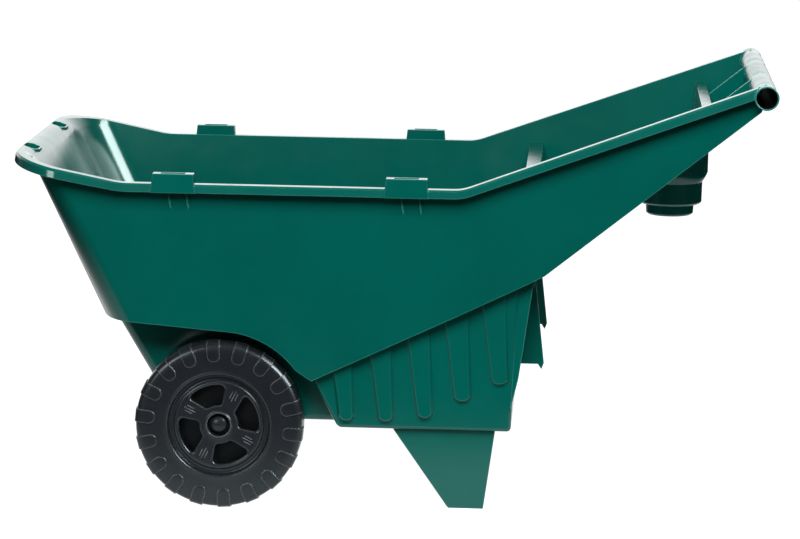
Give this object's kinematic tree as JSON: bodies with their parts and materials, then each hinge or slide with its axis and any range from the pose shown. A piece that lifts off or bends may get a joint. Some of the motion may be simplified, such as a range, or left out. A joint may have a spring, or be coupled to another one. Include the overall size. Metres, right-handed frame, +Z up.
{
  "type": "garden cart",
  "caption": "Two-wheeled moulded garden cart with a deep tub, rear tool tray with cup holder, cross-bar handle and standing legs.",
  "frame": {"origin": "on the ground under the middle of the cart's bounding box, standing on its wheels and legs", "axes": "+X along the cart from the front lip towards the handle, +Y across to the far side, +Z up"},
  "size_m": [1.135, 0.6144, 0.6539],
  "materials": {
    "green_plastic": "satin moulded polyethylene, deep green",
    "black_plastic": "satin moulded plastic, charcoal",
    "zinc_steel": "zinc-plated steel"
  },
  "bodies": {
    "cart": {"body": "green_plastic", "leg_near": "green_plastic", "leg_bolt_near_1": "zinc_steel", "leg_bolt_near_2": "zinc_steel", "leg_nut_near_1": "zinc_steel", "leg_nut_near_2": "zinc_steel", "leg_far": "green_plastic", "leg_bolt_far_1": "zinc_steel", "leg_bolt_far_2": "zinc_steel", "leg_nut_far_1": "zinc_steel", "leg_nut_far_2": "zinc_steel", "axle": "zinc_steel", "spacer_near": "black_plastic", "washer_near": "zinc_steel", "axle_cap_near": "black_plastic", "spacer_far": "black_plastic", "washer_far": "zinc_steel", "axle_cap_far": "black_plastic"},
    "wheel_near_body": {"wheel_near": "black_plastic", "wheel_bush_near": "black_plastic"},
    "wheel_far_body": {"wheel_far": "black_plastic", "wheel_bush_far": "black_plastic"}
  },
  "joints": [
    {"name": "wheel_near_spin", "type": "hinge", "parent": "cart", "child": "wheel_near_body", "pos_m": [-0.25, -0.25, 0.127], "axis": [0, 1, 0], "continuous": true},
    {"name": "wheel_far_spin", "type": "hinge", "parent": "cart", "child": "wheel_far_body", "pos_m": [-0.25, 0.25, 0.127], "axis": [0, 1, 0], "continuous": true}
  ]
}
